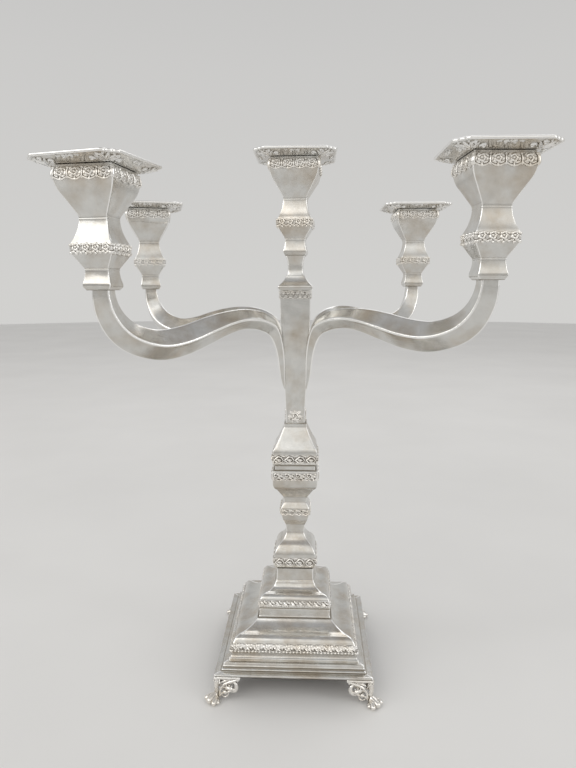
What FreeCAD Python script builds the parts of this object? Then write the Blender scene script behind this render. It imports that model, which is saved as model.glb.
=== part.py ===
import FreeCAD, Part
import math
import os

# Five-light candelabrum of silver sheet and castings: a candlestick on a stepped
# square base, a lift-out branch unit with four curved arms, and five loose drip pans.
# Millimetres. +Z is up, the origin is on the table under the axis of the column,
# -Y is the front. Everything is square in plan, with its sides along X and Y.

# ---- driving dimensions ------------------------------------------------------

BASE_HALF = 70.0          # half the side of the base rim
FOOT_TOP_Z = 23.2         # underside of the base rim
SHEET = 1.2               # wall of the raised sheet parts
BAND_RELIEF = 0.9         # how far the applied ornament bands stand proud

SOCKET_RIM_Z = 237.8      # top of the candlestick's socket
SPIGOT_HALF = 8.30        # half the side of the branch unit's square spigot
SPIGOT_GAP = 0.06         # clearance on each side of the spigot
SPIGOT_LENGTH = 22.0
ROD_RADIUS = 3.0

ARM_REACH = 180.5         # from the column's axis to a side cup's axis
CUP_BASE_Z = 364.8        # lip of a side cup's collar
CENTRE_CUP_BASE_Z = 392.0
CANDLE_RADIUS = 11.1      # bore for a 22 mm candle
NOZZLE_RADIUS = 11.9
NOZZLE_FIT = 0.08         # radial play of a nozzle in its cup, and of a pan on its nozzle
PAN_HALF = 35.0
PAN_CORNER_CUT = 10.0

# Each arm's diagonal, how far it swings out of it, and the height of its cup above CUP_BASE_Z.
# The arms are bent by hand, so none lies exactly on its diagonal or ends at the same height.
ARMS = {
    "front_left": (225.0, -1.5, -2.0),
    "front_right": (315.0, 3.5, 4.6),
    "back_left": (135.0, 14.8, -2.0),
    "back_right": (45.0, 1.0, 0.5),
}
# How far each cup stands turned on its arm or spindle, and each loose pan on its cup.
CUP_TURN = {"front_left": -6.0, "front_right": 0.0, "back_left": 0.0, "back_right": 0.0, "centre": -3.0}
PAN_TURN = {"front_left": -7.5, "front_right": -3.0, "back_left": 0.0, "back_right": -1.5, "centre": 3.0}


UP = FreeCAD.Vector(0, 0, 1)
ORIGIN = FreeCAD.Vector(0, 0, 0)


# ---- outlines ------------------------------------------------------------------
# An outline is the half width of a square section against height, from bottom to
# top. A pair is the end of a straight run, and four numbers are an arc: a point
# halfway along it and its end.

RIM = [(BASE_HALF - 0.6, 23.2), (BASE_HALF, 23.8), (BASE_HALF, 24.8), (BASE_HALF - 0.6, 25.4),
       (63.9, 25.4), (64.2, 26.2, 63.5, 27.0), (62.6, 27.4), (62.4, 31.4), (61.8, 32.2)]
LOWER_TIER = [(58.1, 32.2), (58.1, 33.6), (56.0, 36.0, 56.2, 38.6), (56.6, 39.0), (56.0, 43.5, 54.3, 47.4),
              (52.4, 50.3, 48.8, 51.9), (41.5, 53.4, 35.6, 57.6), (34.0, 59.4)]
MID_TIER = [(33.2, 59.4), (33.7, 60.2, 33.0, 61.2), (32.4, 62.0), (32.4, 68.0), (33.0, 68.6), (33.0, 72.5, 32.2, 75.4),
            (31.0, 78.0, 27.0, 80.1), (20.8, 82.6, 18.2, 88.2), (17.3, 90.4), (17.3, 99.8)]
SOCLE = [(16.4, 99.8), (18.0, 101.2), (19.4, 106.0, 19.4, 111.6), (17.9, 117.9, 13.2, 124.2), (9.9, 128.4, 8.2, 132.8),
         (8.6, 136.6, 9.3, 140.4)]
KNOP = [(9.3, 140.4), (11.6, 145.8), (12.9, 150.6), (13.5, 154.2, 13.2, 157.6), (11.9, 160.2, 10.3, 162.8)]
LOWER_VASE = [(10.3, 162.8), (10.9, 166.6, 13.0, 170.9), (17.0, 177.1), (20.0, 180.6, 20.7, 185.2),
              (20.8, 195.2), (19.6, 196.4)]
UPPER_VASE = [(18.2, 196.4), (18.2, 200.8), (19.2, 201.8), (20.2, 206.2, 20.2, 210.6), (19.9, 216.0, 17.3, 220.6),
              (13.4, 227.4, 11.3, 233.0), (10.4, 235.0), (10.5, SOCKET_RIM_Z)]

STEM = [(9.2, 260.0), (9.75, 269.4), (11.7, 301.0, 13.2, 333.0), (13.4, 359.4)]
STEM_FOOT = [(8.45, SOCKET_RIM_Z + 0.2), (8.5, 241.0), (8.8, 250.7), (9.2, 260.0)]
HUB_CAP = [(14.9, 359.4), (15.3, 359.9), (15.3, 362.2), (14.8, 363.0), (11.1, 366.6, 8.3, 371.4)]
SPINDLE = [(8.3, 371.4), (7.0, 374.4, 6.7, 377.6), (7.1, 383.4, 8.5, 388.8)]

# A cup, measured from its collar's lip.
CUP_FOOT = -3.2
CUP_TOP = 77.0
CUP = [(8.5, CUP_FOOT), (10.3, -1.0), (10.3, 1.2), (9.2, 5.6, 8.7, 10.6), (14.2, 20.0), (15.2, 24.0, 14.2, 29.4),
       (11.4, 36.6, 10.3, 42.6), (10.4, 45.6, 11.4, 48.4), (17.2, 58.4), (19.4, 62.3, 20.7, 66.4),
       (21.3, 71.0, 20.2, 76.0), (19.8, CUP_TOP)]
CUP_HOLLOW = [(7.3, 11.8), (13.0, 20.8), (14.0, 24.2, 13.0, 29.0), (10.2, 36.6, 9.1, 42.6), (9.2, 45.8, 10.2, 48.8),
              (16.0, 58.8), (18.2, 62.8, 19.4, 66.8), (19.9, 71.0, 18.9, CUP_TOP - 1.4)]


def edges_of(outline):
    """The outline as edges in the XZ plane, on the +X side."""
    edges = []
    at = FreeCAD.Vector(outline[0][0], 0, outline[0][1])
    for step in outline[1:]:
        end = FreeCAD.Vector(step[-2], 0, step[-1])
        if len(step) == 4:
            middle = FreeCAD.Vector(step[0], 0, step[1])
            edges.append(Part.Arc(at, middle, end).toShape())
        else:
            edges.append(Part.LineSegment(at, end).toShape())
        at = end
    return edges


def ends_of(outline):
    first, last = outline[0], outline[-1]
    return first[0], first[1], last[-2], last[-1]


def square_turned(outline):
    """A solid of square section whose half width follows the outline."""
    low_w, low_z, high_w, high_z = ends_of(outline)
    right = edges_of(outline)
    left = [edge.mirror(ORIGIN, FreeCAD.Vector(1, 0, 0)) for edge in right]
    floor = Part.LineSegment(FreeCAD.Vector(-low_w, 0, low_z), FreeCAD.Vector(low_w, 0, low_z)).toShape()
    lid = Part.LineSegment(FreeCAD.Vector(-high_w, 0, high_z), FreeCAD.Vector(high_w, 0, high_z)).toShape()
    wire = Part.Wire(Part.__sortEdges__([floor, lid] + right + left))
    reach = max(max(step[0], step[-2]) for step in outline) + 5.0
    slab = Part.Face(wire)
    slab.translate(FreeCAD.Vector(0, -reach, 0))
    slab = slab.extrude(FreeCAD.Vector(0, 2 * reach, 0))
    turned = slab.copy()
    turned.rotate(ORIGIN, UP, 90)
    return slab.common(turned)


def inset(outline, wall):
    """The outline of the hollow inside a closed vase-like piece."""
    _, low_z, _, high_z = ends_of(outline)
    shrink = (high_z - low_z - 2 * wall) / (high_z - low_z)
    inner = []
    for step in outline:
        moved = []
        for w, z in zip(step[0::2], step[1::2]):
            moved += [w - wall, low_z + wall + (z - low_z) * shrink]
        inner.append(tuple(moved))
    return inner


def dropped(outline, wall):
    """The outline of the hollow under a raised tier that is open below."""
    inner = []
    for step in outline:
        moved = []
        for w, z in zip(step[0::2], step[1::2]):
            moved += [w - wall, z - wall]
        inner.append(tuple(moved))
    return inner


def swollen(outline, relief):
    """The outline moved out sideways, for a band laid on a piece."""
    return [tuple(v + relief if i % 2 == 0 else v for i, v in enumerate(step)) for step in outline]


def cylinder(radius, low_z, high_z):
    return Part.makeCylinder(radius, high_z - low_z, FreeCAD.Vector(0, 0, low_z))


def square_block(half, low_z, high_z):
    return Part.makeBox(2 * half, 2 * half, high_z - low_z, FreeCAD.Vector(-half, -half, low_z))


def vase(outline, wall=SHEET):
    """A hollow column piece with a hole through both ends for the tie rod."""
    _, low_z, _, high_z = ends_of(outline)
    shell = square_turned(outline).cut(square_turned(inset(outline, wall)))
    return shell.cut(cylinder(ROD_RADIUS + 0.1, low_z - 1, high_z + 1))


def band(outline, low_z, high_z, relief=BAND_RELIEF):
    """A square ring of ornament, between two heights, on the skin of the piece under it."""
    skin = square_turned(outline)
    ring = square_turned(swollen(outline, relief)).cut(skin)
    return ring.common(square_block(200.0, low_z, high_z))


def place(shape, turn=0.0, reach=0.0, height=0.0):
    """Turn a piece about its own axis, and carry it out along the diagonal that it has turned to."""
    placed = shape.copy()
    placed.rotate(ORIGIN, UP, turn)
    bearing = math.radians(turn + 45.0)
    placed.translate(FreeCAD.Vector(reach * math.cos(bearing), reach * math.sin(bearing), height))
    return placed


nodes = {}

# ---- base ----------------------------------------------------------------------

BOARD_HALF = 63.8
BOARD_LOW_Z = 18.6
ROD_PLAY = 0.3


def base_rim():
    """The bottom moulding: a flat rim with a step on it, open in the middle."""
    return square_turned(RIM).cut(square_block(56.6, 20.0, 40.0))


def base_board():
    """The board that closes the hollow base, let in under the rim."""
    return square_block(BOARD_HALF, BOARD_LOW_Z, FOOT_TOP_Z).cut(cylinder(ROD_RADIUS + ROD_PLAY, 10, 30))


def lower_tier():
    shell = square_turned(LOWER_TIER)
    hollow = square_turned([(56.6, 32.0)] + dropped(LOWER_TIER, SHEET + 0.2)[1:-1] + [(32.0, 57.9)])
    return shell.cut(hollow).cut(square_block(20.0, 50, 70))


def mid_tier():
    shell = square_turned(MID_TIER)
    hollow = square_turned([(31.4, 59.0)] + dropped(MID_TIER, SHEET + 0.2)[2:])
    return shell.cut(hollow).cut(cylinder(ROD_RADIUS + 0.1, 50, 110))


nodes["base_rim"] = base_rim()
nodes["base_board"] = base_board()
nodes["lower_tier"] = lower_tier()
nodes["mid_tier"] = mid_tier()
nodes["lower_tier_band"] = band(LOWER_TIER, 39.2, 46.8, 1.0)
nodes["mid_tier_band"] = band(MID_TIER, 69.0, 75.2)

# ---- feet ----------------------------------------------------------------------

BRACKET_LENGTH = 24.0
BRACKET_DEPTH = 3.6
WING_THICK = 3.4
SCROLL_X = 57.0
SCROLL_Z = 14.4
SCROLL_OUTER = 8.4
SCROLL_INNER = 5.4


def foot_wing():
    """Bracket and C-scroll along the side that faces -Y, next to the corner at +X."""
    inner_y = -BASE_HALF
    bracket = Part.makeBox(
        BRACKET_LENGTH, WING_THICK + 1.0, BRACKET_DEPTH,
        FreeCAD.Vector(BASE_HALF - BRACKET_LENGTH, inner_y, FOOT_TOP_Z - BRACKET_DEPTH))
    along_y = FreeCAD.Vector(0, 1, 0)
    centre = FreeCAD.Vector(SCROLL_X, inner_y + 0.4, SCROLL_Z)
    scroll = Part.makeCylinder(SCROLL_OUTER, WING_THICK, centre, along_y)
    scroll = scroll.cut(Part.makeCylinder(SCROLL_INNER, WING_THICK, centre, along_y))
    curl = Part.makeCylinder(3.2, WING_THICK, centre + FreeCAD.Vector(1.0, 0, 2.6), along_y)
    leaf = Part.makeCylinder(3.4, WING_THICK, centre + FreeCAD.Vector(5.6, 0, -6.2), along_y)
    return bracket.fuse([scroll, curl, leaf])


def foot_leg():
    """The leaf leg on the corner's diagonal: an outline of the side view, given thickness."""
    def at(r, z):
        return FreeCAD.Vector(r, 0, z)
    outline = [
        Part.LineSegment(at(91.0, FOOT_TOP_Z), at(98.6, FOOT_TOP_Z)),
        Part.Arc(at(98.6, FOOT_TOP_Z), at(97.6, 13.0), at(99.8, 6.6)),
        Part.Arc(at(99.8, 6.6), at(104.8, 4.6), at(105.6, 0.0)),
        Part.LineSegment(at(105.6, 0.0), at(96.6, 0.0)),
        Part.Arc(at(96.6, 0.0), at(92.2, 9.0), at(91.0, FOOT_TOP_Z)),
    ]
    wire = Part.Wire([curve.toShape() for curve in outline])
    leg = Part.Face(wire).extrude(FreeCAD.Vector(0, 9.0, 0))
    leg.translate(FreeCAD.Vector(0, -4.5, 0))
    leg.rotate(ORIGIN, UP, -45)
    return leg


def foot():
    """The foot under the corner at +X -Y."""
    wing = foot_wing()
    other = wing.mirror(ORIGIN, FreeCAD.Vector(1, 1, 0))
    return wing.fuse([other, foot_leg()]).removeSplitter()


for name, turn in (("front_right", 0), ("back_right", 90), ("back_left", 180), ("front_left", 270)):
    nodes["foot_" + name] = place(foot(), turn)

# ---- column --------------------------------------------------------------------

nodes["socle"] = vase(SOCLE)
nodes["knop"] = vase(KNOP)
nodes["lower_vase"] = vase(LOWER_VASE)
nodes["socle_band"] = band(SOCLE, 102.4, 111.4)
nodes["knop_band"] = band(KNOP, 151.0, 157.4, 0.6)
nodes["lower_vase_band"] = band(LOWER_VASE, 186.8, 195.0)
nodes["upper_vase_band"] = band(UPPER_VASE, 202.6, 210.4)

SOCKET_HALF = SPIGOT_HALF + SPIGOT_GAP
SOCKET_FLOOR_Z = SOCKET_RIM_Z - SPIGOT_LENGTH
SOCKET_WALL = 0.9


def socket_tube():
    """The square socket inside the upper vase, with a thick floor that the tie rod screws into."""
    tube = square_block(SOCKET_HALF + SOCKET_WALL, SOCKET_FLOOR_Z - 6.0, SOCKET_RIM_Z)
    tube = tube.cut(square_block(SOCKET_HALF, SOCKET_FLOOR_Z, SOCKET_RIM_Z + 1))
    return tube.cut(cylinder(ROD_RADIUS, SOCKET_FLOOR_Z - 7.0, SOCKET_FLOOR_Z - 1.5))


def upper_vase():
    shell = vase(UPPER_VASE)
    return shell.cut(square_block(SOCKET_HALF + SOCKET_WALL, SOCKET_FLOOR_Z - 6.0, SOCKET_RIM_Z + 1))


nodes["upper_vase"] = upper_vase()
nodes["socket_tube"] = socket_tube()

# ---- tie rod under the column ----------------------------------------------------

NUT_Z = 12.6
NUT_HEIGHT = 4.8
WASHER_RADIUS = 9.0


def hex_nut(across_flats, height, low_z):
    corner = across_flats / math.sqrt(3.0)
    points = []
    for k in range(7):
        angle = math.radians(60 * k)
        points.append(FreeCAD.Vector(corner * math.cos(angle), corner * math.sin(angle), low_z))
    body = Part.Face(Part.makePolygon(points)).extrude(FreeCAD.Vector(0, 0, height))
    return body.cut(cylinder(ROD_RADIUS, low_z - 1, low_z + height + 1))


nodes["tie_rod"] = cylinder(ROD_RADIUS, NUT_Z - 1.6, SOCKET_FLOOR_Z - 1.5)
nodes["rod_nut"] = hex_nut(10.0, NUT_HEIGHT, NUT_Z)
washer_low = NUT_Z + NUT_HEIGHT
washer = cylinder(WASHER_RADIUS, washer_low, BOARD_LOW_Z)
nodes["rod_washer"] = washer.cut(cylinder(ROD_RADIUS + ROD_PLAY, washer_low - 1, BOARD_LOW_Z + 1))

# ---- branch unit: stem, hub and spindle --------------------------------------------

def stem():
    """Spigot, tapered stem and hub in one hollow column."""
    outer = square_turned(STEM).fuse(square_turned(STEM_FOOT))
    hollow = square_turned([(7.2, 243.0), (8.1, 269.4), (10.1, 301.0, 11.6, 333.0), (11.8, 358.0)])
    spigot = square_block(SPIGOT_HALF, SOCKET_FLOOR_Z + 0.05, SOCKET_RIM_Z + 0.2)
    return outer.fuse(spigot).removeSplitter().cut(hollow)


def stem_sprigs():
    """A small cast sprig at the foot of each side of the stem."""
    sprig = Part.makeBox(0.8, 11.0, 9.6, FreeCAD.Vector(8.3, -5.5, SOCKET_RIM_Z + 1.6))
    sprig = sprig.cut(square_turned(STEM_FOOT))
    return Part.makeCompound([place(sprig, 90 * k) for k in range(4)])


nodes["stem"] = stem()
nodes["stem_sprigs"] = stem_sprigs()
nodes["hub_band"] = square_block(15.1, 351.0, 359.4).cut(square_turned(STEM))
nodes["hub_cap"] = square_turned(HUB_CAP)
nodes["spindle"] = square_turned(SPINDLE)

# ---- arms ------------------------------------------------------------------------

# Upper and lower ridge of an arm, as distance from the column's axis and height,
# from the tip on the stem to the cup. The section is a square standing on its corner.
ARM_STATIONS = [
    ((13.7, 271.2), (14.3, 270.2)),
    ((12.6, 275.6), (16.6, 275.0)),
    ((13.0, 281.6), (18.8, 281.0)),
    ((12.8, 292.6), (21.0, 292.0)),
    ((13.6, 306.0), (23.6, 304.0)),
    ((17.6, 321.6), (27.4, 313.6)),
    ((24.0, 333.2), (33.0, 320.4)),
    ((34.6, 339.8), (40.6, 323.8)),
    ((47.0, 343.2), (48.6, 325.6)),
    ((62.0, 344.3), (60.6, 325.9)),
    ((79.0, 343.0), (74.6, 323.0)),
    ((98.0, 339.6), (91.6, 317.3)),
    ((117.0, 334.9), (112.8, 310.7)),
    ((134.6, 332.6), (134.0, 308.0)),
    ((147.0, 334.2), (153.0, 311.3)),
    ((157.4, 338.4), (169.6, 318.9)),
    ((164.6, 344.4), (180.6, 329.6)),
    ((169.2, 351.6), (187.4, 343.4)),
    ((171.2, 358.2), (189.4, 354.4)),
    ((171.5, CUP_BASE_Z + CUP_FOOT), (189.5, CUP_BASE_Z + CUP_FOOT)),
]
RISE_FROM, RISE_TO = 30.0, 150.0
SWING_FROM, SWING_TO = 14.0, 64.0
ARM_WALL = 1.5
ARM_SOLID_STATIONS = 7        # the tube is solid from its tip to here


def eased(reach, start, end):
    """From 0 to 1, smoothly, between two distances from the column's axis."""
    t = min(max((reach - start) / (end - start), 0.0), 1.0)
    return t * t * (3 - 2 * t)


def arm_section(upper, lower, swing, rise):
    """The square section between two ridge points, in the plane square to the arm."""
    top = FreeCAD.Vector(upper[0], 0, upper[1] + rise * eased(upper[0], RISE_FROM, RISE_TO))
    bottom = FreeCAD.Vector(lower[0], 0, lower[1] + rise * eased(lower[0], RISE_FROM, RISE_TO))
    middle = (top + bottom) * 0.5
    side = FreeCAD.Vector(0, (top - bottom).Length / 2, 0)
    section = Part.makePolygon([top, middle + side, bottom, middle - side, top])
    section.rotate(ORIGIN, UP, swing * eased(middle.x, SWING_FROM, SWING_TO))
    return section


def thinned(upper, lower, wall):
    """The ridge points of the bore inside a section whose walls are this thick."""
    shift = wall * math.sqrt(2.0) / math.dist(upper, lower)
    inner_upper = tuple(u + (v - u) * shift for u, v in zip(upper, lower))
    inner_lower = tuple(v + (u - v) * shift for u, v in zip(upper, lower))
    return inner_upper, inner_lower


def arm(swing, rise):
    """One arm along +X: a tube of square section that is solid at its root and open under the cup."""
    sections = [arm_section(upper, lower, swing, rise) for upper, lower in ARM_STATIONS]
    bored = [thinned(upper, lower, ARM_WALL) for upper, lower in ARM_STATIONS[ARM_SOLID_STATIONS:]]
    bore = [arm_section(upper, lower, swing, rise) for upper, lower in bored]
    return Part.makeLoft(sections, True, False).cut(Part.makeLoft(bore, True, False))


stem_skin = square_turned(STEM)
for name, (diagonal, swing, rise) in ARMS.items():
    branch = arm(swing, rise)
    branch.rotate(ORIGIN, UP, diagonal)
    nodes["arm_" + name] = branch.cut(stem_skin)

# ---- cups, nozzles and drip pans ---------------------------------------------------

PAN_CENTRE_Z = CUP_TOP + 0.9
PAN_THICK = 1.2
PAN_TOP_Z = CUP_TOP + 5.8
PAN_EDGE_Z = CUP_TOP + 3.4
PAN_FLAT_HALF = 23.0
NOZZLE_FLOOR_Z = 54.0
NOZZLE_TOP_Z = PAN_CENTRE_Z + PAN_THICK + 1.6


def cup():
    body = square_turned(CUP).cut(square_turned(CUP_HOLLOW))
    return body.cut(cylinder(NOZZLE_RADIUS + NOZZLE_FIT, CUP_TOP - 2, CUP_TOP + 1))


def cup_top_band():
    return band(CUP, 67.2, 75.8)


def cup_bulge_band():
    return band(CUP, 20.8, 28.4, 0.8)


def nozzle():
    """A closed tube for the candle, with a bead that rests on the cup and a rolled rim over the pan."""
    tube = cylinder(NOZZLE_RADIUS, NOZZLE_FLOOR_Z, NOZZLE_TOP_Z)
    bead = cylinder(NOZZLE_RADIUS + 1.4, CUP_TOP, CUP_TOP + 0.8)
    rim = cylinder(NOZZLE_RADIUS + 2.7, PAN_CENTRE_Z + PAN_THICK + 0.1, NOZZLE_TOP_Z)
    bore = cylinder(CANDLE_RADIUS, NOZZLE_FLOOR_Z + 1.0, NOZZLE_TOP_Z + 1)
    return tube.fuse([bead, rim]).cut(bore).removeSplitter()


def cut_square(half, cut, z):
    """A square with its corners cut off, as a closed wire at height z."""
    near = half - cut
    corners = []
    for k in range(4):
        angle = math.radians(90 * k)
        for x, y in ((half, -near), (half, near)):
            corners.append(FreeCAD.Vector(
                x * math.cos(angle) - y * math.sin(angle),
                x * math.sin(angle) + y * math.cos(angle), z))
    return Part.makePolygon(corners + corners[:1])


def dish(levels):
    """A ruled solid through cut squares, each given as half side, corner cut and height."""
    return Part.makeLoft([cut_square(*level) for level in levels], True, True)


def pan():
    """A thin square dish with cut corners and an upright edge, free to turn on its nozzle."""
    flat_cut = PAN_CORNER_CUT * 0.5
    outer = dish([
        (PAN_FLAT_HALF, flat_cut, PAN_CENTRE_Z),
        (PAN_HALF - 0.4, PAN_CORNER_CUT, PAN_EDGE_Z - 0.4),
        (PAN_HALF, PAN_CORNER_CUT, PAN_EDGE_Z),
        (PAN_HALF, PAN_CORNER_CUT, PAN_TOP_Z)])
    inner = dish([
        (PAN_FLAT_HALF, flat_cut, PAN_CENTRE_Z + PAN_THICK),
        (PAN_HALF - 1.4, PAN_CORNER_CUT - 0.4, PAN_EDGE_Z + 0.8),
        (PAN_HALF - 1.2, PAN_CORNER_CUT - 0.4, PAN_TOP_Z + 1)])
    return outer.cut(inner).cut(cylinder(NOZZLE_RADIUS + NOZZLE_FIT, PAN_CENTRE_Z - 1, PAN_TOP_Z))


def seat(shape, name):
    """Put a cup's piece on its arm, or on the spindle for the centre light."""
    turned = place(shape, CUP_TURN[name])
    if name == "centre":
        return place(turned, 0, 0, CENTRE_CUP_BASE_Z)
    diagonal, swing, rise = ARMS[name]
    return place(turned, diagonal + swing - 45.0, ARM_REACH, CUP_BASE_Z + rise)


for name in list(ARMS) + ["centre"]:
    nodes["cup_" + name] = seat(cup(), name)
    nodes["cup_top_band_" + name] = seat(cup_top_band(), name)
    nodes["cup_bulge_band_" + name] = seat(cup_bulge_band(), name)
    nodes["nozzle_" + name] = seat(nozzle(), name)
    turned_pan = pan()
    turned_pan.rotate(ORIGIN, UP, PAN_TURN[name])
    nodes["pan_" + name] = seat(turned_pan, name)

# ---- write ---------------------------------------------------------------------

os.makedirs("parts", exist_ok=True)
for name, shape in nodes.items():
    shape.exportStep("parts/" + name + ".step")
    box = shape.BoundBox
    print(f"{name:28s} solids {len(shape.Solids)} valid {shape.isValid()} volume {shape.Volume:10.1f}"
          f" z {box.ZMin:7.2f} {box.ZMax:7.2f}")
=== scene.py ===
import math

import bmesh
import bpy
import numpy as np
from mathutils import Matrix, Vector


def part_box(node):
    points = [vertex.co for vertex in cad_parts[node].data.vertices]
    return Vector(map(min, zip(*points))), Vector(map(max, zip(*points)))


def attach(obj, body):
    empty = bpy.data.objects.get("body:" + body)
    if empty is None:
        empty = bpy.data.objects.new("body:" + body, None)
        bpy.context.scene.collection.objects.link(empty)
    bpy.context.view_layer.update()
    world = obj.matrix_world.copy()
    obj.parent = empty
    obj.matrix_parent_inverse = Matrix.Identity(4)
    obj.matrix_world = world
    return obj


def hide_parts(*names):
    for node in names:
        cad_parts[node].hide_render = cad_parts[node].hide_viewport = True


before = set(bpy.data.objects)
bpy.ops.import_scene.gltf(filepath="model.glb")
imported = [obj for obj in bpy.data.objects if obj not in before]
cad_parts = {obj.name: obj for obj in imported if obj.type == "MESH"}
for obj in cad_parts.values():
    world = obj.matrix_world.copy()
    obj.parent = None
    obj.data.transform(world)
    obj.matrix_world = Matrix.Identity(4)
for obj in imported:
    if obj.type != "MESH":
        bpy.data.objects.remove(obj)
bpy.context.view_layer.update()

# The looks of a silver candelabrum. Sizes are millimetres in the CAD frame, and become
# metres when a mesh is made. Where a light stands is read from its packed nozzle.

MM = 0.001
LIGHTS = ("front_left", "front_right", "back_left", "back_right", "centre")
SIDE_LIGHTS = LIGHTS[:4]

# ---- outlines: half width of the square section against height
# A pair ends a straight run, and four numbers are an arc: a point on it and its end.

RIM = [(69.4, 23.2), (70.0, 23.8), (70.0, 24.8), (69.4, 25.4), (63.9, 25.4), (64.2, 26.2, 63.5, 27.0),
       (62.6, 27.4), (62.4, 28.3), (62.9, 28.7), (62.9, 29.4), (62.4, 29.8), (62.4, 31.4), (61.8, 32.2)]
LOWER_TIER = [(58.1, 32.2), (58.1, 33.6), (56.0, 36.0, 56.2, 38.6), (56.6, 39.0), (56.0, 43.5, 54.3, 47.4),
              (52.4, 50.3, 48.8, 51.9), (41.5, 53.4, 35.6, 57.6), (34.0, 59.4)]
MID_TIER = [(33.1, 59.4), (33.1, 60.0), (32.7, 60.5), (32.6, 63.8, 32.7, 67.0), (32.3, 67.5), (32.4, 67.9),
            (33.0, 68.6), (33.0, 72.5, 32.2, 75.4), (31.0, 78.0, 27.0, 80.1), (21.0, 82.2, 18.3, 86.8),
            (17.9, 87.2), (17.8, 87.7), (17.3, 88.4), (17.1, 94.0, 17.2, 99.8)]
SOCLE = [(16.4, 99.8), (18.0, 101.2), (19.4, 106.0, 19.4, 111.6), (17.9, 117.9, 13.2, 124.2),
         (9.9, 128.4, 8.2, 132.8), (8.6, 136.6, 9.3, 140.4)]
KNOP = [(9.3, 140.4), (11.6, 145.8), (12.9, 150.6), (13.5, 154.2, 13.2, 157.6), (11.9, 160.2, 10.3, 162.8)]
LOWER_VASE = [(10.3, 162.8), (10.9, 166.6, 13.0, 170.9), (17.0, 177.1), (20.0, 180.6, 20.7, 185.2),
              (20.8, 195.2), (19.6, 196.4)]
UPPER_VASE = [(18.2, 196.4), (18.2, 200.8), (19.2, 201.8), (20.2, 206.2, 20.2, 210.6),
              (20.0, 213.4, 19.2, 216.4), (14.6, 225.2, 11.3, 233.0), (10.4, 235.0), (10.5, 237.8)]
STEM = [(8.3, 215.85), (8.3, 238.0), (8.45, 238.0), (8.5, 241.0), (8.8, 250.7), (9.2, 260.0),
        (9.75, 269.4), (11.7, 301.0, 13.2, 333.0), (13.4, 359.4)]
HUB_CAP = [(14.9, 359.4), (15.3, 359.9), (15.3, 362.2), (14.8, 363.0), (11.1, 366.6, 8.3, 371.4)]
SPINDLE = [(8.3, 371.4), (7.0, 374.4, 6.7, 377.6), (7.1, 383.4, 8.5, 388.8)]

# A cup and what it holds, measured from its collar's lip.
CUP_TOP = 77.0
CUP = [(8.5, -3.2), (10.3, -1.0), (10.3, 1.2), (9.2, 5.6, 8.7, 10.2), (8.95, 10.5), (8.95, 11.0),
       (8.8, 11.3), (14.2, 20.0), (15.2, 24.0, 14.2, 29.4), (11.4, 36.6, 10.3, 42.6), (10.2, 43.7),
       (10.4, 44.1), (10.2, 44.5), (10.5, 46.6, 11.4, 48.4), (17.2, 58.4), (19.4, 62.3, 20.7, 66.4),
       (21.3, 71.0, 20.2, 76.0), (20.2, CUP_TOP + 0.3), (20.0, CUP_TOP + 0.6),
       (19.2, CUP_TOP + 0.6)]
NOZZLE_FLOOR = 54.0
CANDLE_RADIUS = 11.1
NOZZLE_RADIUS = 11.9
PAN_HALF = 35.0
PAN_CUT = 10.0            # what each corner of the square loses along a side
PAN_FLAT = 23.0           # half width of the plain floor inside the pressed border
PAN_SHEET = 1.0
PAN_RISE = 3.2            # how far the border climbs to the rolled edge
PAN_LOW = CUP_TOP + 0.9
PAN_RIM = CUP_TOP + 5.8
PAN_PRESS = 1.25          # depth of the pressed ornament
ROLL_HIGHLIGHT = 0.8           # how bright the rolled edge is painted, a painted highlight along it
CUP_TURN = {"front_left": -6.0, "front_right": 0.0, "back_left": 0.0, "back_right": 0.0, "centre": -3.0}
PAN_TURN = {"front_left": -7.5, "front_right": -3.0, "back_left": 0.0, "back_right": -1.5, "centre": 3.0}

# Upper and lower ridge of an arm, as distance from the column's axis and height.
ARM_STATIONS = [
    ((13.7, 271.2), (14.3, 270.2)), ((12.6, 275.6), (16.6, 275.0)), ((13.0, 281.6), (18.8, 281.0)),
    ((12.8, 292.6), (21.0, 292.0)), ((13.6, 306.0), (23.6, 304.0)), ((17.6, 321.6), (27.4, 313.6)),
    ((24.0, 333.2), (33.0, 320.4)), ((34.6, 339.8), (40.6, 323.8)), ((47.0, 343.2), (48.6, 325.6)),
    ((62.0, 344.3), (60.6, 325.9)), ((79.0, 343.0), (74.6, 323.0)), ((98.0, 339.6), (91.6, 317.3)),
    ((117.0, 334.9), (112.8, 310.7)), ((134.6, 332.6), (134.0, 308.0)), ((147.0, 334.2), (153.0, 311.3)),
    ((157.4, 338.4), (169.6, 318.9)), ((164.6, 344.4), (180.6, 329.6)), ((169.2, 351.6), (187.4, 343.4)),
    ((171.2, 358.2), (189.4, 354.4)), ((171.5, 361.6), (189.5, 361.6)),
]
ARM_DIAGONAL = {"front_left": 225.0, "front_right": 315.0, "back_left": 135.0, "back_right": 45.0}
CUP_LIP_Z = 364.8
RISE_FROM, RISE_TO = 30.0, 150.0        # where an arm takes up a higher or lower cup
SWING_FROM, SWING_TO = 14.0, 64.0       # where it turns out of its diagonal
ARM_CORNER = 1.5
SPRIG_Z = 244.6
FOOT_TOP = 23.2

EDGE = 0.75               # radius of the corners of the square sheet pieces
CREASE = 0.55             # radius of the lines across them
ROUND = 4                 # points round each corner


def seat_of(light):
    """The axis, lip height and turn of a light's cup, from its packed nozzle."""
    low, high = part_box("nozzle_" + light)
    x, y = (low.x + high.x) / 2 / MM, (low.y + high.y) / 2 / MM
    bearing = 0.0 if light == "centre" else math.degrees(math.atan2(y, x)) - 45.0
    return x, y, low.z / MM - NOZZLE_FLOOR, bearing + CUP_TURN[light]


# ---- curves

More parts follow.
